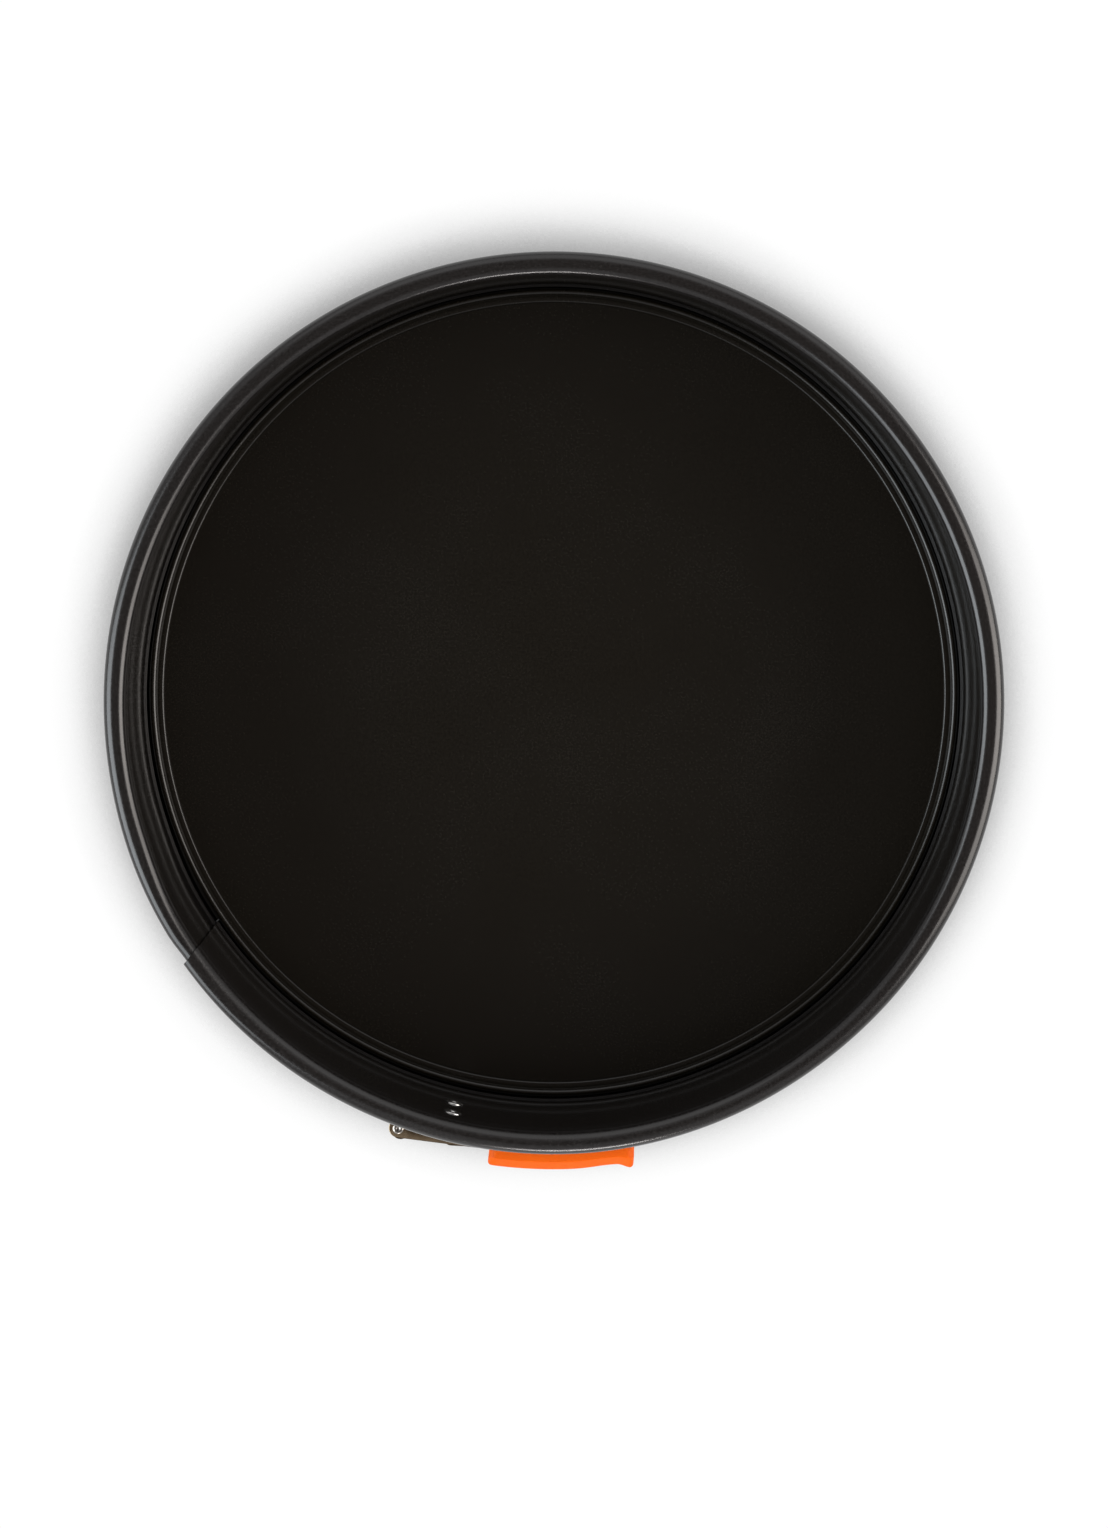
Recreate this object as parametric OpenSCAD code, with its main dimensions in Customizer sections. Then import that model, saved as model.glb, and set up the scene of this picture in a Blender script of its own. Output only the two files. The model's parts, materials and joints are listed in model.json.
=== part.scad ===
// Springform pan, 24 cm: a side band closed by an over-centre lever latch, and a loose base plate.
// The origin is on the pan's axis at its underside. The latch is at the front, near -Y, and +Z is up.
// The band is one springy strip. It is cut into four arcs here, on three bodies, so that it can open.

/* [Pan] */
// inside radius of the side band at its inner end
wall_r = 120; // [119:0.5:121]
// height from the underside to the top of the rim
pan_h = 70; // [68:1:74]
// thickness of the band's sheet
sheet = 0.6; // [0.5:0.05:0.6]
// how far the rolled rim reaches out from the inner end's inside face
rim_w = 6.2; // [6:0.1:6.6]
// gap between the two layers where the band overlaps itself
layer_gap = 0.3; // [0.25:0.05:0.35]

/* [Overlap] */
// where the inner layer ends, at the rim
seam_deg = 215; // [212:0.1:220]
// how far the inner layer's end leans, from foot to rim
seam_lean_deg = 1.75; // [0:0.25:2]
// where the outer layer ends, hidden behind the inner one
outer_end_deg = 252; // [251:0.25:252]
// where the enlarged rim that wraps the outer layer's rim stops
wrap_end_deg = 257; // [255:0.5:259]

/* [Foot] */
// height of the middle of the bead above the underside
bead_z = 5; // [4.6:0.1:6]
// how far the bead stands out
bead_out = 1.5; // [1:0.1:1.6]
// inside radius of the lip that the band's foot turns in to
lip_r = 117.8; // [117.5:0.1:118.2]

/* [Base plate] */
// thickness of the base plate
plate_t = 0.8; // [0.6:0.1:0.9]
// radius of the flat floor
floor_r = 115.7; // [114:0.1:116]
// radius of the crest of the raised edge
crest_r = 118; // [117.5:0.1:118]
// height of the crest
crest_z = 4.6; // [4:0.1:5]

/* [Latch] */
// polar angle of the latch's own frame
latch_deg = 262.6; // [262:0.1:263]
// height of the middle of the latch
latch_z = 49; // [47:0.5:50]
// distance from the lever's pivot to the link's pin
throw = 8; // [7.8:0.1:8.1]
// thickness of the latch's stamped sheet
stamp = 0.9; // [0.8:0.05:1]
// radius of the rounded ends of the stampings
end_r = 2.7; // [2.6:0.1:2.9]
// distance between the two rivets of each pair on the lever's bracket
rivet_pitch = 19; // [18:0.5:20]

/* [Grip] */
// height of the silicone grip
grip_h = 20; // [18:0.5:22]
// inside radius of the grip, from the pan's axis
grip_in = 126; // [125.6:0.1:126.4]
// outside radius of the grip, from the pan's axis
grip_out = 132.9; // [132.2:0.1:133.5]
// how far the tip flares out
flare = 1.6; // [0.5:0.1:2.5]

/* [Hidden] */
$fn = 96;
fine = 240;
// bodies cut from the band meet with this much air
arc_gap = 0.1;
// inside radii of the band's inner layer, its back and its outer layer
inner_in = wall_r;
outer_in = wall_r + sheet + layer_gap;
back_in = (inner_in + outer_in) / 2;
rim_out = wall_r + rim_w;
// the rim of the outer layer, and the enlarged one that wraps it
outer_roll = (rim_out - outer_in) / 2;
rim_c = rim_out - outer_roll;
wrap_roll_r = rim_c - inner_in;
roll_z = pan_h - rim_w / 2;
bead_c = wall_r - (2.5 * 2.5 - bead_out * bead_out) / (2 * bead_out);
plate_edge = 0.6;
// how far the wall runs up into the roll
wall_join = 0.3;
// the step where two shapes would otherwise share a face
hair = 0.05;
// latch frame: first number outwards from the pan's axis, second along the wall towards the grip
pivot_at = [126.4, -13];
link_pin_at = [125.8, -13 + sqrt(throw * throw - 0.36)];
anchor_pin_at = [125.8, -28.3];
// the knuckle is set off from the anchor pin, which travels inside its bore as the latch opens
knuckle_at = [126.38, -27.583];
rivet_deg = 256.1;
anchor_rivet_deg = 245.4;
rivet_r = 1.7;
pivot_r = 1.5;
link_pin_r = 1.25;
anchor_pin_r = 1;
running = 0.05;
// heights above the middle of the latch, counted outwards
ear_z = 4;
lever_z = ear_z + 1.3;
link_z = lever_z + stamp + 1.05;
knuckle_h = link_z - 0.45;
web_half = lever_z + stamp - 2 * hair;
grip_a0 = 261.8;
grip_a1 = 280.3;
blade_in = 127.4;
blade_out = 128.5;

// ---- helpers ----

// Turns a profile drawn in radius and height from one polar angle to another.
module arc(a0, a1) {
  rotate([0, 0, a0])
    rotate_extrude(angle = a1 - a0, $fn = fine)
      children();
}

// A rolled edge: it starts in the top of the wall, goes over and stops under itself.
// Its inner side is a hair outside the wall's, so that no two faces touch along a line.
module roll(c, r, stop_x, stop_y) {
  translate([c + hair / 2, roll_z])
    difference() {
      circle(r = r - hair / 2);
      circle(r = r - hair / 2 - sheet);
      polygon([[0, -wall_join], [-2 * r, -wall_join], [-2 * r, -2 * r], [stop_x * r, -2 * r],
               [stop_x * r, stop_y * r]]);
    }
}

// The band's wall with the bead near its foot.
module wall(r_in) {
  bead_r = r_in + bead_out - bead_c;
  half = sqrt(bead_r * bead_r - (r_in - bead_c) * (r_in - bead_c));
  translate([r_in, bead_z + half])
    square([sheet, roll_z + wall_join - bead_z - half]);
  translate([r_in, 0])
    square([sheet, bead_z - half]);
  intersection() {
    translate([bead_c, bead_z])
      difference() {
        circle(r = bead_r + sheet);
        circle(r = bead_r);
      }
    translate([r_in, 0])
      square([10, 20]);
  }
}

// The lip that the foot turns in to.
module lip(r_in) {
  translate([lip_r, 0])
    square([r_in + sheet - lip_r, sheet]);
}

// The rim of a band that stands alone.
module plain_roll(r_in) {
  half = (rim_out - r_in) / 2;
  roll(rim_out - half, half, -0.34, -0.5);
}

// The inner layer's rim in the overlap, which wraps the outer layer's rim and is open below.
module wrap_roll() {
  roll(rim_c, wrap_roll_r, 0.5, -0.5);
}

// Moves children into the latch's frame, at the middle of its height.
module latch() {
  rotate([0, 0, latch_deg])
    translate([0, 0, latch_z])
      children();
}

// The same outline above and below the middle of the latch, from z0 to z0 + h.
module both_sides(z0, h) {
  for (side = [0, 1])
    mirror([0, 0, side])
      translate([0, 0, z0])
        linear_extrude(height = h)
          children();
}

// A strip with round ends.
module strip(a, b, r) {
  d = b - a;
  translate(a)
    circle(r = r);
  translate(b)
    circle(r = r);
  translate(a)
    rotate(atan2(d[1], d[0]))
      translate([0, -r])
        square([norm(d), 2 * r]);
}

// A pin along the latch's height, with a head at each end.
module headed_pin(at, r, half, head_r, head_h) {
  latch()
    translate([at[0], at[1], 0]) {
      cylinder(h = 2 * half + 0.2, r = r, center = true);
      for (side = [0, 1])
        mirror([0, 0, side])
          translate([0, 0, half + 0.05]) {
            cylinder(h = head_h / 2, r = head_r);
            translate([0, 0, head_h / 2])
              cylinder(h = head_h / 2, r1 = head_r, r2 = head_r * 0.65);
          }
    }
}

// Puts children on a radial axis that points outwards, for each rivet of a pair.
module rivet_pair(deg, pitch) {
  for (side = [-1, 1])
    rotate([0, 0, deg])
      translate([0, 0, latch_z + side * pitch / 2])
        rotate([0, 90, 0])
          children();
}

// ---- side band ----

module side_band_back() {
  color("#2a2826")
    rotate([0, 0, asin(arc_gap / wall_r)])
      arc(0, 180 - 2 * asin(arc_gap / wall_r)) {
        wall(back_in);
        lip(back_in);
        plain_roll(back_in);
      }
}

module side_band_right() {
  color("#2c2a28")
    arc(360, wrap_end_deg) {
      wall(inner_in);
      lip(inner_in);
      plain_roll(inner_in);
    }
}

// The inner layer where it overlaps. It meets the right arc face to face and moves with it.
module side_band_overlap() {
  color("#2c2a28")
    difference() {
      arc(wrap_end_deg, seam_deg - 4) {
        wall(inner_in);
        lip(inner_in);
        wrap_roll();
      }
      // the end of the strip is cut at a slight lean
      rotate([0, 0, seam_deg])
        translate([wall_r - 10, 0, pan_h])
          rotate([-seam_lean_deg, 0, 0])
            translate([0, -30, -80])
              cube([30, 30, 100]);
      rivet_pair(rivet_deg, rivet_pitch)
        cylinder(h = 2 * wall_r, r = rivet_r);
    }
}

module side_band_left() {
  color("#2a2826")
    difference() {
      union() {
        arc(180, outer_end_deg) {
          wall(outer_in);
          plain_roll(outer_in);
        }
        // the lip stops just short of the inner layer's
        arc(180, seam_deg - 1.3)
          lip(outer_in);
      }
      rivet_pair(anchor_rivet_deg, 15)
        cylinder(h = 2 * wall_r, r = rivet_r);
    }
}

// ---- base plate ----

module base_plate() {
  out = plate_edge + 0.5;
  crest_c = crest_z - out;
  color("#17150f")
    rotate_extrude($fn = fine) {
      square([floor_r - 0.5, plate_t]);
      polygon([[floor_r - 0.5, 0], [floor_r + 0.2, 0], [crest_r - 0.5, crest_c],
               [crest_r - out, crest_c], [floor_r - 0.3, plate_t], [floor_r - 0.5, plate_t]]);
      translate([crest_r, crest_c])
        difference() {
          circle(r = out);
          circle(r = 0.5);
          translate([-5, -10])
            square([10, 10]);
        }
      translate([crest_r + 0.5, 1.6])
        square([plate_edge, crest_c - 1.6]);
    }
}

// ---- lever side of the latch ----

module lever_bracket() {
  color("#b9b4ab")
    difference() {
      union() {
        translate([0, 0, latch_z - 14])
          arc(252.7, 260.6)
            translate([wall_r + sheet, 0])
              square([1, 28]);
        latch()
          difference() {
            both_sides(ear_z, 1) {
              translate(pivot_at)
                circle(r = end_r);
              polygon([[116, -19], [116, -7], [pivot_at[0], pivot_at[1] + end_r],
                       [pivot_at[0], pivot_at[1] - end_r]]);
            }
            cylinder(h = 40, r = wall_r + sheet + 0.5, center = true, $fn = fine);
          }
      }
      latch()
        translate([pivot_at[0], pivot_at[1], 0])
          cylinder(h = 30, r = pivot_r, center = true);
      rivet_pair(rivet_deg, rivet_pitch)
        cylinder(h = 2 * wall_r, r = rivet_r);
    }
}

// Tubular rivets: domed heads outside, hollow set ends on the inside of the wall.
module lever_bracket_rivets() {
  seat = wall_r + sheet + 1;
  color("#c8c4bc")
    rivet_pair(rivet_deg, rivet_pitch)
      difference() {
        union() {
          translate([0, 0, wall_r - 0.6])
            cylinder(h = 0.55, r = 2.65);
          translate([0, 0, wall_r - 0.3])
            cylinder(h = seat + 0.6 - wall_r, r = rivet_r);
          translate([0, 0, seat])
            cylinder(h = 0.6, r = 3.2);
          translate([0, 0, seat + 0.6])
            cylinder(h = 0.9, r1 = 3.2, r2 = 1.9);
        }
        translate([0, 0, wall_r - 1])
          cylinder(h = 2, r = 1);
      }
}

module lever_flange() {
  strip(pivot_at, link_pin_at, end_r);
  polygon([[link_pin_at[0] - end_r + 0.3, link_pin_at[1] - 0.2], [link_pin_at[0] + end_r - 0.3, link_pin_at[1] - 0.2],
           [128, 2], [127.9, 9], [126.2, 9]]);
}

// The lever without its pin holes, which the grip is moulded round.
module lever_solid() {
  latch()
    both_sides(lever_z, stamp)
      lever_flange();
  // the web joins the flanges on the outer side
  translate([0, 0, latch_z - web_half])
    arc(262.2, 266.6)
      translate([blade_in - hair, 0])
        square([blade_out - blade_in + 2 * hair, 2 * web_half]);
  // the blade carries on inside the grip
  translate([0, 0, latch_z - 7])
    arc(263.4, 278.6)
      translate([blade_in, 0])
        square([blade_out - blade_in, 14]);
}

module lever() {
  color("#b9b4ab")
    difference() {
      lever_solid();
      latch() {
        translate([pivot_at[0], pivot_at[1], 0])
          cylinder(h = 30, r = pivot_r + running, center = true);
        translate([link_pin_at[0], link_pin_at[1], 0])
          cylinder(h = 30, r = link_pin_r, center = true);
      }
    }
}

module lever_pivot_pin() {
  color("#c8c4bc")
    headed_pin(pivot_at, pivot_r, lever_z + stamp, 2.2, 0.65);
}

module link() {
  color("#b9b4ab")
    latch()
      difference() {
        union() {
          both_sides(link_z, stamp)
            strip(anchor_pin_at, link_pin_at, end_r);
          // the web joins the two sides along their outer edge
          translate([anchor_pin_at[0] + end_r - stamp, -24, -link_z - stamp])
            cube([stamp, 7, 2 * (link_z + stamp)]);
        }
        translate([anchor_pin_at[0], anchor_pin_at[1], 0])
          cylinder(h = 30, r = anchor_pin_r, center = true);
        translate([link_pin_at[0], link_pin_at[1], 0])
          cylinder(h = 30, r = link_pin_r + running, center = true);
      }
}

module link_pin() {
  color("#c8c4bc")
    headed_pin(link_pin_at, link_pin_r, link_z + stamp, 1.8, 0.9);
}

module anchor_pin() {
  color("#c8c4bc")
    headed_pin(anchor_pin_at, anchor_pin_r, link_z + stamp, 1.6, 0.9);
}

// ---- anchor side of the latch ----

module anchor_bracket() {
  seat = outer_in + sheet;
  color("#b9b4ab")
    difference() {
      union() {
        translate([0, 0, latch_z - 12])
          arc(242.4, 251.4)
            translate([seat, 0])
              square([stamp, 24]);
        latch()
          difference() {
            union() {
              translate([knuckle_at[0], knuckle_at[1], 0])
                cylinder(h = 2 * knuckle_h, r = 2.65, center = true);
              // the leaf stands off the wall and runs into the side of the knuckle
              translate([knuckle_at[0], knuckle_at[1], 0])
                rotate([0, 0, atan2(knuckle_at[1], knuckle_at[0])])
                  translate([-11, -2.6, -knuckle_h])
                    cube([11, stamp, 2 * knuckle_h]);
            }
            cylinder(h = 40, r = seat + 0.4, center = true, $fn = fine);
          }
      }
      latch()
        translate([knuckle_at[0], knuckle_at[1], 0])
          cylinder(h = 30, r = 2, center = true);
      rivet_pair(anchor_rivet_deg, 15)
        cylinder(h = 2 * wall_r, r = rivet_r);
    }
}

// Rivets set flush on their inner side, so that the inner layer can slide past them.
module anchor_rivets() {
  seat = outer_in + sheet + stamp;
  color("#c8c4bc")
    rivet_pair(anchor_rivet_deg, 15) {
      translate([0, 0, outer_in + 0.05])
        cylinder(h = seat + 0.6 - outer_in - 0.05, r = rivet_r);
      translate([0, 0, seat])
        cylinder(h = 0.6, r = 3);
      translate([0, 0, seat + 0.6])
        cylinder(h = 0.8, r1 = 3, r2 = 1.8);
    }
}

// ---- grip ----

module grip_section(edge) {
  w = grip_out - grip_in;
  translate([grip_in, latch_z - grip_h / 2 + edge])
    square([w, grip_h - 2 * edge]);
  translate([grip_in + edge, latch_z - grip_h / 2])
    square([w - 2 * edge, grip_h]);
  for (x = [grip_in + edge, grip_out - edge])
    for (z = [latch_z - grip_h / 2 + edge, latch_z + grip_h / 2 - edge])
      translate([x, z])
        circle(r = edge);
}

module grip() {
  color("#ff6a13")
    difference() {
      union() {
        arc(grip_a0, grip_a1)
          grip_section(1.2);
        // the tip flares out for the fingertip
        translate([0, 0, latch_z - grip_h / 2 + 1.4])
          linear_extrude(height = grip_h - 2.8)
            polygon([for (k = [0:6])
                       let (a = grip_a1 - 3.4 + 3.4 * k / 6, r = grip_out - 0.1 + flare * pow(k / 6, 2))
                         [r * cos(a), r * sin(a)],
                     [(grip_in + 1.5) * cos(grip_a1), (grip_in + 1.5) * sin(grip_a1)],
                     [(grip_in + 1.5) * cos(grip_a1 - 3.4), (grip_in + 1.5) * sin(grip_a1 - 3.4)]]);
      }
      lever_solid();
    }
}

side_band_back();
side_band_right();
side_band_overlap();
side_band_left();
base_plate();
lever_bracket();
lever_bracket_rivets();
lever();
lever_pivot_pin();
link();
link_pin();
anchor_pin();
anchor_bracket();
anchor_rivets();
grip();
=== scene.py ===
"""Springform pan: the looks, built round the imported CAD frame.

Sections, outlines and names that end in _MM or _mm are in millimetres, and placed points are in metres.
Polar angles are in degrees, anticlockwise from +X seen from above. Along the band they run on from -145,
the inner layer's end, through 0, 90 and 180 to 252, the outer layer's end.
"""

import json
import math

import bmesh
import bpy
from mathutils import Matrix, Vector


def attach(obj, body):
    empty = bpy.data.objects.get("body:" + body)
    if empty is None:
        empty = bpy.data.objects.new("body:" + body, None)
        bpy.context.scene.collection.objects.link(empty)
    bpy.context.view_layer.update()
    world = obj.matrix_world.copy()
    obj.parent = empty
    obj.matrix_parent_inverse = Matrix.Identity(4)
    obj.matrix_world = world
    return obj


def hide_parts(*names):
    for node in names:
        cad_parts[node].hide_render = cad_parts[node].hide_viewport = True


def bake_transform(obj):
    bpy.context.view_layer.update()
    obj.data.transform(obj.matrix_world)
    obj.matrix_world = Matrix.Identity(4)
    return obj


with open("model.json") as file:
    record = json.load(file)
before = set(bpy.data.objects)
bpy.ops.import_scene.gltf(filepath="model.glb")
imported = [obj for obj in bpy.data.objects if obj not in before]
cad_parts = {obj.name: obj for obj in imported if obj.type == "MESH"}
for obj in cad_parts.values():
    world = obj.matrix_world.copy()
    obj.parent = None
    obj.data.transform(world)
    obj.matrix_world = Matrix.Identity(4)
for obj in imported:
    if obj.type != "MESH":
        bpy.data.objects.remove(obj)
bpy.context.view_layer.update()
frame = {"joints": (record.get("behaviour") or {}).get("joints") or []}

scene = bpy.context.scene
MM = 0.001

# ---- the design's own sizes, in millimetres ----

SHEET_MM = 0.6  # thickness of the band's sheet
WALL_MM = 120.0  # inside radius of the inner layer
LAYER_STEP_MM = 0.9  # how much further out the outer layer lies
FOOT_BEND_MM = 0.9  # radius of the bend above the turned-in foot, at the sheet's middle
FOOT_BEND_Z_MM = 1.2
LIP_MM = 117.8  # inside radius of the turned-in foot
LIP_STOPS = 213.7  # angle where the outer layer's lip is cut away
BEAD_Z_MM = 5.0
BEAD_OUT_MM = 1.5
BEAD_REACH_MM = 3.1  # from the bead's middle to its upper and lower ends
LEDGE_MM = 0.42  # how far the ledge above the bead stands inwards
LEDGE_Z_MM = 8.7  # where the ledge starts to slope back to the wall
SHOULDER_Z_MM = 63.0  # where the wall ends and the rim's roll begins
ROLL_Z_MM = 66.9  # height of the rolled rim's middle
INNER_END, OUTER_END = -145.0, 252.0
SHOULDER_EASED, TOP_EASED = -5, -46  # angles where the wrapping rim has eased to the plain one
LATCH_DEG = 262.6
LATCH_Z_MM = 49.0
GRIP_START, GRIP_END = 261.8, 280.3
GRIP_IN_MM, GRIP_OUT_MM, GRIP_HALF_MM = 126.0, 132.88, 10.0


def joint(name):
    return next(j for j in frame["joints"] if j["name"] == name)


# ---- small geometry helpers ----


def smooth(t):
    t = min(max(t, 0.0), 1.0)
    return t * t * (3 - 2 * t)


def polar(r_mm, deg, z_mm):
    a = math.radians(deg)
    return Vector((r_mm * math.cos(a), r_mm * math.sin(a), z_mm)) * MM


OUTWARD = polar(1000, LATCH_DEG, 0)
ALONG = polar(1000, LATCH_DEG + 90, 0)


def latch_point(out_mm, along_mm, up_mm):
    """A point in the latch's frame: outwards from the pan's axis, along the wall, and up from its middle."""
    return (OUTWARD * out_mm + ALONG * along_mm + Vector((0, 0, LATCH_Z_MM + up_mm))) * MM


def in_latch(point):
    """Outwards and along, in millimetres, of a point in the row's frame."""
    p = Vector(point) / MM
    return p.dot(OUTWARD), p.dot(ALONG)


def arc_points(centre, radius, start, stop, steps):
    """Points on an arc in a plane, from one angle to another."""
    found = []
    for k in range(steps + 1):
        a = math.radians(start + (stop - start) * k / steps)
        found.append((centre[0] + radius * math.cos(a), centre[1] + radius * math.sin(a)))
    return found


def skin(bm, rows, ring=True, closed=False):
    """Faces between rows of points. ring joins each row's ends, closed the last row to the first."""
    grid = [[bm.verts.new(p) for p in row] for row in rows]
    count = len(grid[0])
    pairs = list(zip(grid, grid[1:])) + ([(grid[-1], grid[0])] if closed else [])
    for a, b in pairs:
        for i in range(count if ring else count - 1):
            j = (i + 1) % count
            bm.faces.new((a[i], a[j], b[j], b[i]))
    return grid


def offset_both(path, half):
    """The two sides of a strip of sheet whose middle line is the path."""
    left, right = [], []
    for i, p in enumerate(path):
        a, b = path[max(i - 1, 0)], path[min(i + 1, len(path) - 1)]
        t = Vector((b[0] - a[0], b[1] - a[1])).normalized()
        left.append((p[0] - t.y * half, p[1] + t.x * half))
        right.append((p[0] + t.y * half, p[1] - t.x * half))
    return left, right


def sheet_outline(path, half):
    """A closed outline of sheet, with both edges rounded: left side, far edge, right side, near edge."""
    left, right = offset_both(path, half)

    def edge(a, b, tip_from, tip_to):
        out = Vector((tip_to[0] - tip_from[0], tip_to[1] - tip_from[1])).normalized() * half
        mid = Vector(((a[0] + b[0]) / 2, (a[1] + b[1]) / 2))
        side = Vector(a) - mid
        turns = (math.pi / 4, math.pi / 2, 3 * math.pi / 4)
        return [tuple(mid + side * math.cos(t) + out * math.sin(t)) for t in turns]

    far = edge(left[-1], right[-1], path[-2], path[-1])
    near = edge(right[0], left[0], path[1], path[0])
    return left + far + right[::-1] + near


def cap_sheet(bm, row, sides):
    """Closes the cut end of a swept sheet outline that has that many points on each side."""
    n = sides
    left, far = row[:n], row[n:n + 3]
    right, near = row[n + 3:2 * n + 3][::-1], row[2 * n + 3:]
    for i in range(n - 1):
        bm.faces.new((left[i], left[i + 1], right[i + 1], right[i]))
    bm.faces.new([left[-1], *far, right[-1]])
    bm.faces.new([right[0], *near, left[0]])


def finish_mesh(name, bm, material, sharp=38):
    """Turns a bmesh into a smooth-shaded object with its sharp edges kept."""
    bmesh.ops.recalc_face_normals(bm, faces=bm.faces)
    mesh = bpy.data.meshes.new(name)
    bm.to_mesh(mesh)
    bm.free()
    mesh.shade_smooth()
    mesh.set_sharp_from_angle(angle=math.radians(sharp))
    mesh.materials.append(material)
    obj = bpy.data.objects.new(name, mesh)
    scene.collection.objects.link(obj)
    return obj


def revolve(bm, profile, origin, axis, steps=48):
    """Turns a profile of (radius, height) in mm about an axis. A radius of 0 closes it with a point."""
    axis = Vector(axis).normalized()
    side = axis.orthogonal().normalized()
    other = axis.cross(side)
    rings = []
    for r, h in profile:
        base = origin + axis * h * MM
        if r == 0:
            rings.append([bm.verts.new(base)])
            continue
        ring = []
        for k in range(steps):
            a = 2 * math.pi * k / steps
            ring.append(bm.verts.new(base + (side * math.cos(a) + other * math.sin(a)) * r * MM))
        rings.append(ring)
    for a, b in zip(rings, rings[1:]):
        for k in range(steps):
            m = (k + 1) % steps
            corners = [a[k % len(a)], a[m % len(a)], b[m % len(b)], b[k % len(b)]]
            bm.faces.new(list(dict.fromkeys(corners)))


def extrude_outline(bm, outline, low_mm, high_mm, place, bevel_mm):
    """A plate from a closed outline, between two heights, with its edges bevelled."""
    part = bmesh.new()
    low = [part.verts.new(place(x, y, low_mm)) for x, y in outline]
    high = [part.verts.new(place(x, y, high_mm)) for x, y in outline]
    part.faces.new(low)
    part.faces.new(high)
    count = len(outline)
    for i in range(count):
        j = (i + 1) % count
        part.faces.new((low[i], low[j], high[j], high[i]))
    rims = [e for e in part.edges if (e.verts[0] in low) == (e.verts[1] in low)]
    bmesh.ops.bevel(part, geom=rims, offset=bevel_mm * MM, segments=3, profile=0.5, affect="EDGES")
    merge_into(bm, part)


def merge_into(bm, part):
    """Adds one bmesh's geometry to another."""
    bmesh.ops.recalc_face_normals(part, faces=part.faces)
    copy = bpy.data.meshes.new("part")
    part.to_mesh(copy)
    part.free()
    bm.from_mesh(copy)
    bpy.data.meshes.remove(copy)


# ---- materials ----


def new_material(name):
    mat = bpy.data.materials.new(name)
    mat.use_nodes = True
    nodes, links = mat.node_tree.nodes, mat.node_tree.links
    shader = nodes["Principled BSDF"]
    coords = nodes.new("ShaderNodeTexCoord")
    return mat, nodes, links, shader, coords.outputs["Object"]


def noise(nodes, links, coords, per_metre, detail=3.0, roughness=0.55, stretch=None):
    """Noise at a real scale: about that many lumps a metre, stretched along an axis if asked."""
    if stretch:
        mapping = nodes.new("ShaderNodeMapping")
        mapping.inputs["Scale"].default_value = stretch
        links.new(coords, mapping.inputs["Vector"])
        coords = mapping.outputs["Vector"]
    tex = nodes.new("ShaderNodeTexNoise")
    tex.inputs["Scale"].default_value = per_metre
    tex.inputs["Detail"].default_value = detail
    tex.inputs["Roughness"].default_value = roughness
    links.new(coords, tex.inputs["Vector"])
    return tex.outputs["Fac"]


def ramp(nodes, links, value, stops):
    """A colour ramp through (position, colour) stops."""
    node = nodes.new("ShaderNodeValToRGB")
    while len(node.color_ramp.elements) < len(stops):
        node.color_ramp.elements.new(0.5)
    for element, (position, colour) in zip(node.color_ramp.elements, stops):
        element.position = position
        element.color = (*colour, 1)
    links.new(value, node.inputs["Fac"])
    return node.outputs["Color"]


def spread(nodes, links, value, low, high, from_low=0.3, from_high=0.7):
    """Maps a noise value to a range of roughness or height."""
    node = nodes.new("ShaderNodeMapRange")
    node.inputs["From Min"].default_value = from_low
    node.inputs["From Max"].default_value = from_high
    node.inputs["To Min"].default_value = low
    node.inputs["To Max"].default_value = high
    links.new(value, node.inputs["Value"])
    return node.outputs["Result"]


def add_bumps(nodes, links, shader, layers):
    """Chains bumps: each layer is (height value, distance in metres, strength)."""
    normal = None
    for height, distance, strength in layers:
        bump = nodes.new("ShaderNodeBump")
        bump.inputs["Distance"].default_value = distance
        bump.inputs["Strength"].default_value = strength
        links.new(height, bump.inputs["Height"])
        if normal:
            links.new(normal, bump.inputs["Normal"])
        normal = bump.outputs["Normal"]
    links.new(normal, shader.inputs["Normal"])


def coating(name, dark, light, rough_low, rough_high, specular):
    """Sprayed non-stick coating: a fine grain, a few lighter specks and more gloss at a glancing angle."""
    mat, nodes, links, shader, coords = new_material(name)
    grain = noise(nodes, links, coords, 1500, detail=2)
    cloud = noise(nodes, links, coords, 22, detail=2)
    links.new(ramp(nodes, links, grain, [(0.35, dark), (0.72, light)]), shader.inputs["Base Color"])
    gloss = nodes.new("ShaderNodeMath")
    gloss.operation = "ADD"
    links.new(spread(nodes, links, grain, rough_low, rough_high), gloss.inputs[0])
    links.new(spread(nodes, links, cloud, -0.02, 0.02), gloss.inputs[1])
    facing = nodes.new("ShaderNodeLayerWeight")
    glance = nodes.new("ShaderNodeMath")
    glance.operation = "MULTIPLY"
    links.new(gloss.outputs[0], glance.inputs[0])
    links.new(spread(nodes, links, facing.outputs["Facing"], 1.0, 0.32, 0.4, 0.85), glance.inputs[1])
    links.new(glance.outputs[0], shader.inputs["Roughness"])
    shader.inputs["Specular IOR Level"].default_value = specular
    peel = noise(nodes, links, coords, 260, detail=1)
    add_bumps(nodes, links, shader, [(grain, 0.00001, 0.3), (peel, 0.00004, 0.2)])
    return mat


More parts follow.
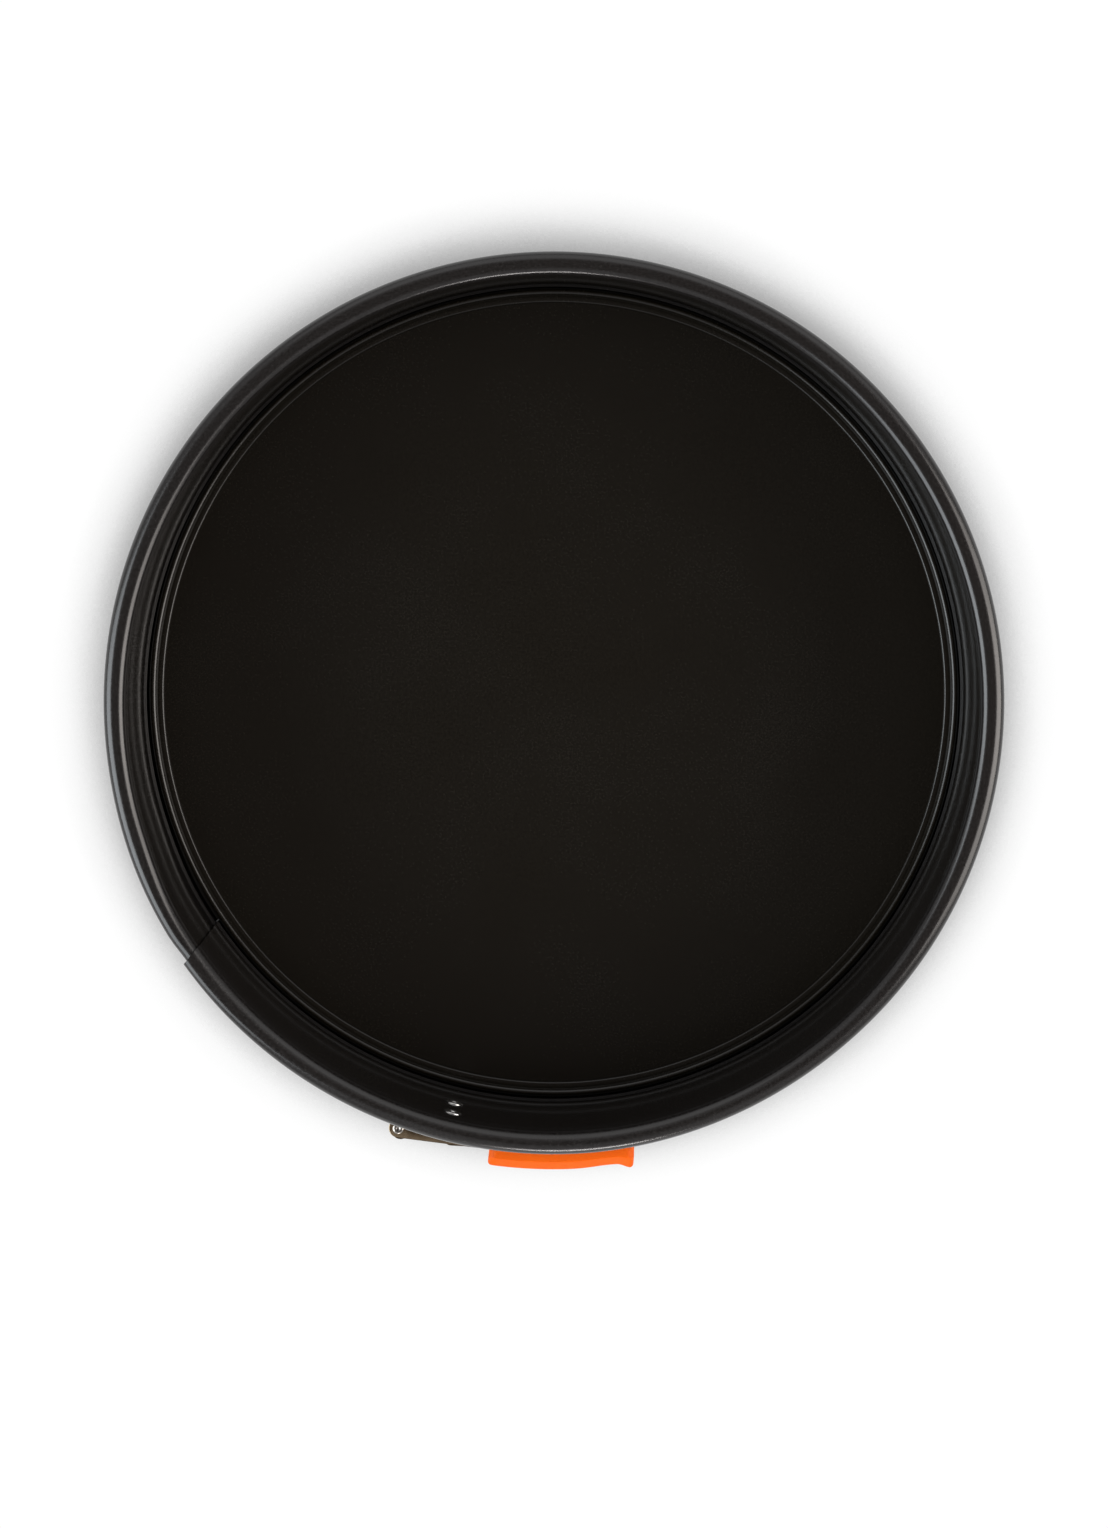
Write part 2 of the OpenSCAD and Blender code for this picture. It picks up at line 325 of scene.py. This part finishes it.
def plated(name, colour, dull, rough_low, rough_high, brush):
    """Bright plated or bare steel: drawn micro-scratches, small stains and a little waviness."""
    mat, nodes, links, shader, coords = new_material(name)
    shader.inputs["Metallic"].default_value = 1.0
    scratch = noise(nodes, links, coords, 900, detail=4, stretch=brush)
    stain = noise(nodes, links, coords, 180, detail=3)
    wave = noise(nodes, links, coords, 240, detail=1)
    links.new(ramp(nodes, links, stain, [(0.35, dull), (0.6, colour)]), shader.inputs["Base Color"])
    links.new(spread(nodes, links, scratch, rough_low, rough_high), shader.inputs["Roughness"])
    add_bumps(nodes, links, shader, [(scratch, 0.00001, 0.3), (wave, 0.00008, 0.35)])
    return mat


def silicone(name):
    """Moulded silicone: saturated, slightly translucent, with a fine matt skin."""
    mat, nodes, links, shader, coords = new_material(name)
    grain = noise(nodes, links, coords, 2600, detail=2)
    cloud = noise(nodes, links, coords, 90, detail=2)
    tone = ramp(nodes, links, cloud, [(0.3, (0.64, 0.088, 0.0008)), (0.7, (0.68, 0.098, 0.0012))])
    links.new(tone, shader.inputs["Base Color"])
    links.new(spread(nodes, links, grain, 0.45, 0.6), shader.inputs["Roughness"])
    shader.inputs["Specular IOR Level"].default_value = 0.13
    shader.inputs["Subsurface Weight"].default_value = 0.1
    shader.inputs["Subsurface Radius"].default_value = (0.0025, 0.0009, 0.0003)
    shader.inputs["Subsurface Scale"].default_value = 1.0
    add_bumps(nodes, links, shader, [(grain, 0.00002, 0.3)])
    return mat


BAND_COAT = coating("band_nonstick", (0.0052, 0.0046, 0.0044), (0.0105, 0.0093, 0.009), 0.18, 0.27, 0.5)
BASE_COAT = coating("base_nonstick", (0.003, 0.0022, 0.001), (0.006, 0.0046, 0.0023), 0.2, 0.28, 0.46)
NICKEL = plated("nickel_plate", (0.3, 0.23, 0.15), (0.13, 0.095, 0.055), 0.1, 0.2, (1, 1, 6))
STEEL = plated("bare_steel", (0.62, 0.62, 0.61), (0.36, 0.35, 0.34), 0.14, 0.26, (1, 1, 1))
PIN_STEEL = plated("pin_steel", (0.42, 0.4, 0.37), (0.12, 0.11, 0.095), 0.12, 0.24, (1, 1, 1))
ORANGE = silicone("orange_silicone")


# ---- side band ----


def outer_share(deg):
    """0 where the strip is single, 1 where it is the outer layer, which lies further out."""
    return 0.45 * min(max((deg - 150) / 45, 0), 1) + 0.55 * smooth((deg - 197) / 13)


def wrap_share(deg, gone):
    """1 where the inner layer's roll wraps the outer layer's rim, easing to 0 at an angle past the latch."""
    return 1 - smooth((deg + 90) / (gone + 90)) if deg < 90 else 0.0


def mixed(plain, outer, wrap, deg, gone):
    """A size that differs between the plain rim, the outer layer's rim and the rim that wraps it."""
    return plain + (outer - plain) * outer_share(deg) + (wrap - plain) * wrap_share(deg, gone)


def foot_path(deg, middle):
    """The turned-in foot, from its edge to the wall. The outer layer's stops where the inner's begins."""
    turn_in = 1 - smooth((deg - LIP_STOPS) / 0.25)
    angle = 90 * turn_in
    length = turn_in * (middle - FOOT_BEND_MM - LIP_MM) + (1 - turn_in) * FOOT_BEND_Z_MM
    bend = arc_points((middle - FOOT_BEND_MM, FOOT_BEND_Z_MM), FOOT_BEND_MM, -angle, 0, 5)
    r, z = bend[0]
    edge = (r - length * math.sin(math.radians(angle)), z - length * math.cos(math.radians(angle)))
    points = [edge, ((edge[0] + r) / 2, (edge[1] + z) / 2), *bend]
    return [(r, max(z, SHEET_MM / 2)) for r, z in points]


def wall_path(middle):
    """The wall: a bead, which is a groove seen from inside, a narrow ledge above it, then straight up."""
    points = []
    for k in range(15):
        h = BEAD_REACH_MM * (k / 7 - 1)
        groove = BEAD_OUT_MM * math.cos(math.pi / 2 * h / BEAD_REACH_MM) ** 2
        points.append((middle + groove - LEDGE_MM * smooth(h / BEAD_REACH_MM), BEAD_Z_MM + h))
    for z in (8.5, 8.8, 9.0, 9.2, 9.45, 10.5):
        points.append((middle - LEDGE_MM * (1 - smooth((z - LEDGE_Z_MM) / 0.7)), z))
    return points + [(middle, z) for z in (16, 30, 45, 58)]


def roll_path(deg, middle):
    """The rolled rim: an inner shoulder, a nearly flat top, an outer corner and a curled-under edge.

    Its mixed sizes are for the plain rim, the outer layer's rim and the rim that wraps it.
    """
    half = SHEET_MM / 2
    top = mixed(70.0, 69.65, 70.37, deg, TOP_EASED)
    inner_c = mixed(121.85, 123.85, 123.8, deg, SHOULDER_EASED)
    inner_r = mixed(2.35, 2.9, 3.45, deg, SHOULDER_EASED)
    tucked = 0.5 * smooth((deg - 211) / 4)  # where the outer layer goes in under the other's rim
    corner = 1 - smooth((deg + 145) / 35) if deg < -100 else 0.0  # squarer next to the inner layer's cut end
    bulge = 0.35 * smooth((deg - 186) / 20)
    outer_c = mixed(123.1, 123.8, 123.6, deg, TOP_EASED) - tucked + bulge + 1.4 * corner
    outer_r = mixed(3.1, 2.4, 3.45, deg, TOP_EASED) - 1.3 * corner
    under_r = mixed(3.1, 2.8, 3.45, deg, TOP_EASED)
    under_c = outer_c + outer_r - under_r
    shoulder = inner_c - inner_r + half
    points = []
    for t in (0.0, 0.25, 0.5, 0.75):
        rise = (top - inner_r - SHOULDER_Z_MM) * t
        points.append((middle + (shoulder - middle) * smooth(t), SHOULDER_Z_MM + rise))
    points += arc_points((inner_c, top - inner_r), inner_r - half, 180, 92, 13)
    points += [(inner_c + (outer_c - inner_c) * t, top - half) for t in (0.25, 0.5, 0.75)]
    points += arc_points((outer_c, top - outer_r), outer_r - half, 88, 0, 14)
    curl = -105 + 45 * wrap_share(deg, TOP_EASED)
    return points + arc_points((under_c, ROLL_Z_MM - 0.05), under_r - half, 0, curl, 15)


def band_path(deg):
    """Middle line of the band's sheet as (radius, height), from the foot's edge to the roll's edge."""
    middle = WALL_MM + LAYER_STEP_MM * outer_share(deg) + SHEET_MM / 2
    return foot_path(deg, middle) + wall_path(middle) + roll_path(deg, middle)


def band_angles(start, stop, step=1.25):
    """Angles along a piece, with fine steps at its ends so that its normals meet the next piece's."""
    sign = 1 if stop > start else -1
    count = math.ceil(abs(stop - start) / step)
    inner = [start + (stop - start) * k / count for k in range(1, count)]
    if stop == OUTER_END:
        inner = sorted(inner + [LIP_STOPS + f for f in (0.0, 0.08, 0.17, 0.26)])
    fine = [0.0, 0.04, 0.3]
    return [start + sign * f for f in fine] + inner + [stop - sign * f for f in reversed(fine)]


def lean(deg, r, z):
    """The inner layer's end is cut at a lean: its foot reaches further round than its rim."""
    end = -1.0 + 0.25 * min(z / ROLL_Z_MM, 1) + 0.13 * max(r - WALL_MM - SHEET_MM, 0)
    return end * (1 - smooth((deg - INNER_END) / 14))


def band_piece(name, start, stop):
    """A stretch of the band, as sheet of real thickness with closed ends."""
    bm = bmesh.new()
    rows, sides = [], 0
    for deg in band_angles(start, stop):
        path = band_path(deg)
        sides = len(path)
        outline = sheet_outline(path, SHEET_MM / 2)
        rows.append([polar(r, deg + lean(deg, r, z), z) for r, z in outline])
    grid = skin(bm, rows)
    cap_sheet(bm, grid[0], sides)
    cap_sheet(bm, grid[-1], sides)
    piece = finish_mesh(name, bm, BAND_COAT)
    return piece


def make_band():
    """Four stretches: the two back quarters stay where they are, and the two sides go with the band's right
    and left bodies.
    """
    back_right = band_piece("band_back_right", 90, 0)
    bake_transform(back_right)
    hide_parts("side_band_back")
    back_left = band_piece("band_back_left", 90, 180)
    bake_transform(back_left)
    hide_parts("side_band_back")
    right = band_piece("band_inner_layer", 0, INNER_END)
    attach(right, "band_right")
    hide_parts("side_band_right", "side_band_overlap")
    left = band_piece("band_outer_layer", 180, OUTER_END)
    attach(left, "band_left")
    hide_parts("side_band_left")


# ---- base plate ----


def make_base_plate():
    """A pressed disc: a flat floor, a steep step, a narrow shelf, a raised bead and a turned-down edge."""
    half = 0.35
    floor_z = half + 0.02  # the underside clears the table by a hair
    path = [(60, floor_z), (95, floor_z), (110, floor_z), (114.8, floor_z)]
    path += arc_points((115.25, floor_z + 0.25), 0.25, -90, -10, 5)
    path += arc_points((115.88, 2.65), 0.28, 170, 94, 6)
    path += [(116.4, 2.95), (117.0, 2.98), (117.4, 3.05)]
    path += arc_points((118.49, 3.44), 0.76, 150, 0, 14)
    path += [(119.25, 2.6), (119.25, 1.7)]
    # the outline stops at the inner edge's lower side, and one face on each side closes the middle
    outline = sheet_outline(path, half)[:2 * len(path) + 3]
    steps = 360
    bm = bmesh.new()
    rows = [[polar(r, 360 * k / steps, z) for r, z in outline] for k in range(steps)]
    grid = skin(bm, rows, ring=False, closed=True)
    bm.faces.new([row[0] for row in grid])
    bm.faces.new([row[-1] for row in grid])
    plate = finish_mesh("pressed_base", bm, BASE_COAT)
    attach(plate, "base_plate")
    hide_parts("base_plate")


# ---- latch ----

STAMP_MM = 0.9
END_R_MM = 2.7  # radius of the rounded ends of the ears, the lever and the link
PIVOT = in_latch(joint("lever_swing")["pos_m"])
LINK_PIN = in_latch(joint("link_turn")["pos_m"])
ANCHOR_PIN = (125.8, -28.3)  # outwards and along, as PIVOT and LINK_PIN are
KNUCKLE = (126.38, -27.583)  # middle of the anchor's bore, which has play round its pin
EAR_Z, LEVER_Z, LINK_Z = 4.0, 5.3, 7.25  # inner faces of the stamped sides, from the latch's middle
BLADE_R_MM = 127.95


def stadium(a, b, r, steps=14):
    """Outline of a strip with round ends between two centres."""
    heading = math.degrees(math.atan2(b[1] - a[1], b[0] - a[0]))
    near = arc_points(a, r, heading + 90, heading + 270, steps)
    return near + arc_points(b, r, heading - 90, heading + 90, steps)


def both_sides(bm, outline, inner_mm, thick_mm, bevel_mm=0.16):
    """The two matching sides of a folded stamping, above and below the latch's middle."""
    for low, high in ((inner_mm, inner_mm + thick_mm), (-inner_mm - thick_mm, -inner_mm)):
        extrude_outline(bm, outline, low, high, latch_point, bevel_mm)


def curved_plate(bm, r0, r1, start, stop, low_mm, high_mm, corner_mm, edge_mm=0.2):
    """A plate that hugs the band, with rounded corners and softened edges."""
    columns = 28
    rows = []
    span = (stop - start) * math.pi / 180 * r0
    for k in range(columns + 1):
        t = 0.5 - 0.5 * math.cos(math.pi * k / columns)
        x = t * span
        from_end = min(x, span - x)
        cut = 0.0
        if from_end < corner_mm:
            cut = corner_mm - math.sqrt(max(corner_mm ** 2 - (corner_mm - from_end) ** 2, 0))
        low, high = low_mm + cut, high_mm - cut
        deg = start + (stop - start) * t
        e = edge_mm * min(1.0, from_end / edge_mm + 0.3)
        section = [(r0, low + e), (r0, high - e), (r1 - e, high), (r1, high - e)]
        section += [(r1, low + e), (r1 - e, low)]
        rows.append([polar(r, deg, z) for r, z in section])
    part = bmesh.new()
    grid = skin(part, rows)
    part.faces.new(grid[0])
    part.faces.new(grid[-1])
    merge_into(bm, part)


def ear_fillet(bm, seat_mm, start, stop, inner_mm, thick_mm, radius_mm):
    """The inside of a fold, between a plate on the band and an ear that stands out from it."""
    for sign in (1, -1):
        for face, away in ((inner_mm + thick_mm, 1), (inner_mm, -1)):
            section = [(seat_mm - 0.1, face - away * 0.1)]
            section.append((seat_mm + radius_mm, face - away * 0.1))
            for a in range(0, 91, 18):
                t = math.radians(a)
                r = seat_mm + radius_mm - radius_mm * math.sin(t)
                z = face + away * (radius_mm - radius_mm * math.cos(t))
                section.append((r, z))
            section.append((seat_mm - 0.1, face + away * radius_mm))
            part = bmesh.new()
            rows = []
            for k in range(9):
                deg = start + (stop - start) * k / 8
                rows.append([polar(r, deg, LATCH_Z_MM + sign * z) for r, z in section])
            grid = skin(part, rows)
            part.faces.new(grid[0])
            part.faces.new(grid[-1])
            merge_into(bm, part)


def pin_profile(r, half, head_r, head_h):
    """A headed pin, from its lower head to its upper one."""
    dome = []
    for a in range(0, 91, 18):
        t = math.radians(a)
        dome.append((head_r * (0.65 + 0.35 * math.cos(t)), head_h * (0.45 + 0.55 * math.sin(t))))
    upper = [(r, half), (head_r - 0.12, half), (head_r, half + 0.12)]
    upper += [(x, half + z) for x, z in dome]
    # a shallow dimple in the middle of the head
    upper += [(head_r * 0.4, half + head_h * 1.02), (head_r * 0.3, half + head_h * 0.9)]
    upper += [(0, half + head_h * 0.86)]
    lower = [(x, -z) for x, z in reversed(upper)]
    return lower + upper


def make_pin(name, node, at, r, half, head_r, head_h, body):
    bm = bmesh.new()
    revolve(bm, pin_profile(r, half, head_r, head_h), latch_point(at[0], at[1], 0), (0, 0, 1))
    pin = finish_mesh(name, bm, PIN_STEEL, sharp=50)
    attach(pin, body)
    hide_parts(node)


def finish_stamping(name, bm, node, body):
    piece = finish_mesh(name, bm, NICKEL, sharp=32)
    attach(piece, body)
    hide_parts(node)


def make_lever_bracket():
    bm = bmesh.new()
    seat = WALL_MM + SHEET_MM
    curved_plate(bm, seat, seat + 1, 252.7, 260.6, LATCH_Z_MM - 14, LATCH_Z_MM + 14, 2.2)
    outer, along = PIVOT
    ear = [(121.0, along - 5.6), (123.2, along - 5.0), (outer - 1.4, along - END_R_MM + 0.35)]
    ear += arc_points(PIVOT, END_R_MM, -65, 65, 14)
    ear += [(outer - 1.4, along + END_R_MM - 0.35), (123.2, along + 4.6), (121.0, along + 5.2)]
    both_sides(bm, ear, EAR_Z, 1.0)
    ear_fillet(bm, seat + 1, 254.1, 258.9, EAR_Z, 1.0, 0.9)
    finish_stamping("stamped_lever_bracket", bm, "lever_bracket", "band_right")


def make_lever():
    bm = bmesh.new()
    heading = math.degrees(math.atan2(LINK_PIN[1] - PIVOT[1], LINK_PIN[0] - PIVOT[0]))
    outer = arc_points(LINK_PIN, END_R_MM, heading - 90, heading - 60, 3)
    inner = arc_points(LINK_PIN, END_R_MM, heading + 60, heading + 90, 3)
    outline = arc_points(PIVOT, END_R_MM, heading + 90, heading + 270, 18) + outer
    outline += [(128.25, 2.5), (128.05, 9), (126.4, 9), (125.4, 2.5)] + inner
    both_sides(bm, outline, LEVER_Z, STAMP_MM)
    low, high = LATCH_Z_MM - 6.1, LATCH_Z_MM + 6.1
    curved_plate(bm, BLADE_R_MM - 0.5, BLADE_R_MM + 0.5, 262.4, 278.6, low, high, 1.5)
    finish_stamping("stamped_lever", bm, "lever", "lever")


def make_link():
    """Two side strips and a web round their outer side, in section a C with rounded corners."""
    bm = bmesh.new()
    both_sides(bm, stadium(ANCHOR_PIN, LINK_PIN, END_R_MM), LINK_Z, STAMP_MM)
    web_out = ANCHOR_PIN[0] + END_R_MM
    top = LINK_Z + STAMP_MM
    outside = arc_points((web_out - 1.1, top - 1.1), 1.1, 90, 0, 6)
    inside = arc_points((web_out - 1.1, top - 1.1), 0.25, 90, 0, 4)
    outer_c = [(web_out - 2.0, top - 0.02)] + [(x, z - 0.02) for x, z in outside]
    inner_c = inside[::-1] + [(web_out - 2.0, top - 0.85)]
    section = outer_c + [(x, -z) for x, z in reversed(outer_c)]
    section += [(x, -z) for x, z in reversed(inner_c)] + inner_c
    extrude_outline(bm, section, -24.0, -17.0, lambda x, z, s: latch_point(x, s, z), 0.12)
    finish_stamping("stamped_link", bm, "link", "link")


def make_anchor_bracket():
    bm = bmesh.new()
    seat = WALL_MM + LAYER_STEP_MM + SHEET_MM
    curved_plate(bm, seat, seat + STAMP_MM, 242.4, 251.4, LATCH_Z_MM - 12, LATCH_Z_MM + 12, 2.2)
    # the leaf and the knuckle are one strip, bent out from the plate and rolled round the pin
    knuckle_r = 2.65 - STAMP_MM / 2 + 0.12
    inward = math.degrees(math.atan2(KNUCKLE[1], KNUCKLE[0])) + 180
    rolled = arc_points(KNUCKLE, knuckle_r, inward + 90, inward - 240, 36)
    first = Vector(rolled[0])
    back = Vector((math.cos(math.radians(inward)), math.sin(math.radians(inward))))
    foot = first + back * (Vector(KNUCKLE).length - seat - STAMP_MM / 2 - 0.2)
    path = [tuple(foot), tuple(first.lerp(foot, 0.5))] + rolled
    left, right = offset_both(path, (STAMP_MM - 0.2) / 2)
    extrude_outline(bm, left + right[::-1], -6.8, 6.8, latch_point, 0.1)
    finish_stamping("rolled_anchor", bm, "anchor_bracket", "band_left")


def dome_points(radius, seat, step, rise):
    """A rivet's head in section: a low step round its edge, then a dome."""
    points = []
    for a in range(0, 90, 10):
        t = math.radians(a)
        points.append((radius * math.cos(t), seat + step + (rise - step) * math.sin(t)))
    return points + [(0, seat + rise)]


def make_rivet_pair(name, node, body, profile, deg, apart_mm, steps):
    bm = bmesh.new()
    for side in (-1, 1):
        origin = Vector((0, 0, LATCH_Z_MM + side * apart_mm / 2)) * MM
        revolve(bm, profile, origin, polar(1000, deg, 0), steps)
    rivets = finish_mesh(name, bm, STEEL, sharp=50)
    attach(rivets, body)
    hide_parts(node)


def make_rivets():
    """The lever bracket's rivets are tubular: their set ends show inside the pan as rolled rings."""
    seat = WALL_MM + SHEET_MM + 1
    profile = [(0, WALL_MM + 0.9), (1.0, WALL_MM + 0.9)]
    for a in range(180, -1, -15):
        t = math.radians(a)
        profile.append((1.83 + 0.82 * math.cos(t), WALL_MM - 0.02 - 0.56 * math.sin(t)))
    profile += [(1.7, WALL_MM), (1.7, seat), (3.2, seat)] + dome_points(3.2, seat, 0.25, 1.5)
    make_rivet_pair("tubular_rivets", "lever_bracket_rivets", "band_right", profile, 256.1, 19, 56)

    # the anchor's are set flush under the inner layer, which slides past them
    seat = WALL_MM + LAYER_STEP_MM + SHEET_MM + STAMP_MM
    flush = WALL_MM + LAYER_STEP_MM + 0.06
    profile = [(0, flush), (1.6, flush), (1.7, flush + 0.1), (1.7, seat), (3, seat)]
    profile += dome_points(3, seat, 0.2, 1.4)
    make_rivet_pair("flush_rivets", "anchor_rivets", "band_left", profile, 245.4, 15, 48)


# ---- grip ----


def grip_section(inner, outer, half, slope, crisp):
    """The grip's section, as (radius, height): broad sloping edges outside, crisp ones inside."""
    drop = 0.62 * slope
    tilt = math.degrees(math.atan2(drop, slope))
    soft = 0.6
    corners = ((outer - soft, half - drop - 0.35, soft, 0, 90 - tilt),
               (outer - slope, half - soft, soft, 90 - tilt, 90),
               (inner + crisp, half - crisp, crisp, 90, 180),
               (inner + crisp, crisp - half, crisp, 180, 270),
               (outer - slope, soft - half, soft, 270, 270 + tilt),
               (outer - soft, drop + 0.35 - half, soft, 270 + tilt, 360))
    points = []
    for r, z, radius, start, stop in corners:
        points += arc_points((r, LATCH_Z_MM + z), radius, start, stop, 6)
    return points


def round_off(x, radius):
    """How far a rounded end has pulled in, at a distance from that end."""
    return radius - math.sqrt(radius ** 2 - (radius - x) ** 2) if x < radius else 0.0


def make_grip():
    """A moulded sleeve that follows the pan's curve, cut square at the latch and flared at its tip."""
    span = math.radians(GRIP_END - GRIP_START) * GRIP_OUT_MM
    steps = 84
    bm = bmesh.new()
    rows = []
    for k in range(steps + 1):
        t = 0.5 - 0.5 * math.cos(math.pi * k / steps)
        x = t * span
        from_end = min(x, span - x)
        flare = 1.45 * smooth((x - span + 6.2) / 6.2) ** 1.2
        waist = 0.4 * math.exp(-((x - span + 9) / 5.5) ** 2)
        down, back = round_off(from_end, 2.4), round_off(from_end, 1.0)
        section = grip_section(GRIP_IN_MM + 0.7 * back, GRIP_OUT_MM + flare - waist - back,
                               GRIP_HALF_MM - 0.7 * down, 2.5 + 0.4 * flare - 0.8 * back, 0.9)
        deg = GRIP_START + (GRIP_END - GRIP_START) * t
        # the tip's end is cut a little back on its outer side
        cut_back = 0.1 * smooth((x - span + 8) / 8)
        rows.append([polar(r, deg - cut_back * max(r - 128, 0), z) for r, z in section])
    grid = skin(bm, rows)
    bm.faces.new(grid[0])
    bm.faces.new(grid[-1])
    grip = finish_mesh("silicone_grip", bm, ORANGE, sharp=60)
    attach(grip, "lever")
    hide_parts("grip")


# ---- camera, light and floor ----


def make_camera():
    """The fitted view: nearly straight down, from 1.22 m above the pan's foot."""
    data = bpy.data.cameras.new("camera")
    cam = bpy.data.objects.new("camera", data)
    scene.collection.objects.link(cam)
    data.sensor_width = 36  # the picture's longer side, so the lens is a short telephoto
    data.lens = 97.08691
    data.clip_start, data.clip_end = 0.05, 20
    cam.location = (0, 0.05197, 1.2201)
    cam.rotation_euler = (-0.0595848, 0, 0)
    scene.camera = cam


def make_floor():
    """A bright white table that glows evenly, with a painted contact shadow: its glow darkens by ambient
    occlusion where the object stands close over it.
    """
    bm = bmesh.new()
    half = 3.0  # metres
    corners = [(-half, -half), (half, -half), (half, half), (-half, half)]
    bm.faces.new([bm.verts.new((x, y, -0.0003)) for x, y in corners])
    mat, nodes, links, shader, coords = new_material("floor")
    # painted shade: the glowing floor takes no real shadow, so ambient occlusion through a ramp paints a
    # grey contact shadow round the pan
    near = nodes.new("ShaderNodeAmbientOcclusion")
    near.samples = 16
    near.inputs["Distance"].default_value = 0.038
    stops = [(0.0, 0.02), (0.5, 0.11), (0.7, 0.37), (0.75, 0.52), (0.767, 0.58), (0.797, 0.72),
             (0.825, 0.83), (0.86, 0.91), (0.905, 0.955), (0.94, 0.985), (1.0, 1.0)]
    tone = ramp(nodes, links, near.outputs["AO"], [(at, (v, v, v)) for at, v in stops])
    painted_shadow_glow = nodes.new("ShaderNodeEmission")
    painted_shadow_glow.inputs["Strength"].default_value = 1.03
    links.new(tone, painted_shadow_glow.inputs["Color"])
    links.new(painted_shadow_glow.outputs["Emission"], nodes["Material Output"].inputs["Surface"])
    finish_mesh("floor", bm, mat)


def make_world():
    """A pale room whose ceiling is dark straight overhead, where the camera hangs."""
    world = bpy.data.worlds.new("studio")
    scene.world = world
    world.use_nodes = True
    nodes, links = world.node_tree.nodes, world.node_tree.links
    coords = nodes.new("ShaderNodeTexCoord")
    split = nodes.new("ShaderNodeSeparateXYZ")
    links.new(coords.outputs["Generated"], split.inputs["Vector"])
    stops = [(0.0, (0.5, 0.49, 0.49)), (0.3, (0.5, 0.49, 0.49)), (0.6, (0.6, 0.59, 0.59)),
             (0.82, (0.5, 0.48, 0.48)), (0.91, (0.3, 0.28, 0.27)), (0.96, (0.16, 0.14, 0.13)),
             (1.0, (0.13, 0.112, 0.1))]
    colour = ramp(nodes, links, split.outputs["Z"], stops)
    links.new(colour, nodes["Background"].inputs["Color"])
    nodes["Background"].inputs["Strength"].default_value = 1.0


def softbox(name, location, size, power, colour=(1, 1, 1)):
    """A rectangular light that faces the pan, with a place and size in metres and a power in watts."""
    data = bpy.data.lights.new(name, "AREA")
    data.shape = "RECTANGLE"
    data.size, data.size_y = size
    data.energy = power
    data.color = colour
    light = bpy.data.objects.new(name, data)
    light.location = location
    light.rotation_euler = (-Vector(location)).to_track_quat("-Z", "Y").to_euler()
    scene.collection.objects.link(light)


def make_lights():
    """Large softboxes at the sides, each with a brighter core, a strip in front and a fill behind."""
    softbox("left_softbox", (-1.44, -0.42, 1.06), (1.7, 1.6), 36, (0.9, 0.96, 1.0))
    softbox("left_core", (-1.46, -0.33, 1.0), (0.8, 1.3), 5, (0.9, 0.96, 1.0))
    softbox("right_softbox", (1.47, -0.12, 1.06), (1.5, 1.6), 30, (1.0, 0.94, 0.89))
    softbox("right_core", (1.48, -0.1, 1.0), (0.6, 1.3), 5, (1.0, 0.94, 0.89))
    softbox("front_strip", (0.1, -1.6, 0.3), (0.5, 0.22), 7, (1.0, 0.95, 0.93))
    softbox("back_fill", (0.2, 1.5, 0.95), (2.6, 1.3), 6)


def main():
    make_camera()
    scene.view_settings.view_transform = "Standard"
    make_band()
    make_base_plate()
    make_lever_bracket()
    make_lever()
    make_link()
    make_anchor_bracket()
    make_rivets()
    over_lever, over_link = LEVER_Z + STAMP_MM + 0.05, LINK_Z + STAMP_MM + 0.05
    make_pin("pivot_pin", "lever_pivot_pin", PIVOT, 1.5, over_lever, 2.2, 0.6, "band_right")
    make_pin("toggle_pin", "link_pin", LINK_PIN, 1.25, over_link, 1.8, 0.8, "lever")
    make_pin("knuckle_pin", "anchor_pin", ANCHOR_PIN, 1.0, over_link, 1.6, 0.8, "link")
    make_grip()
    make_floor()
    make_world()
    make_lights()


main()
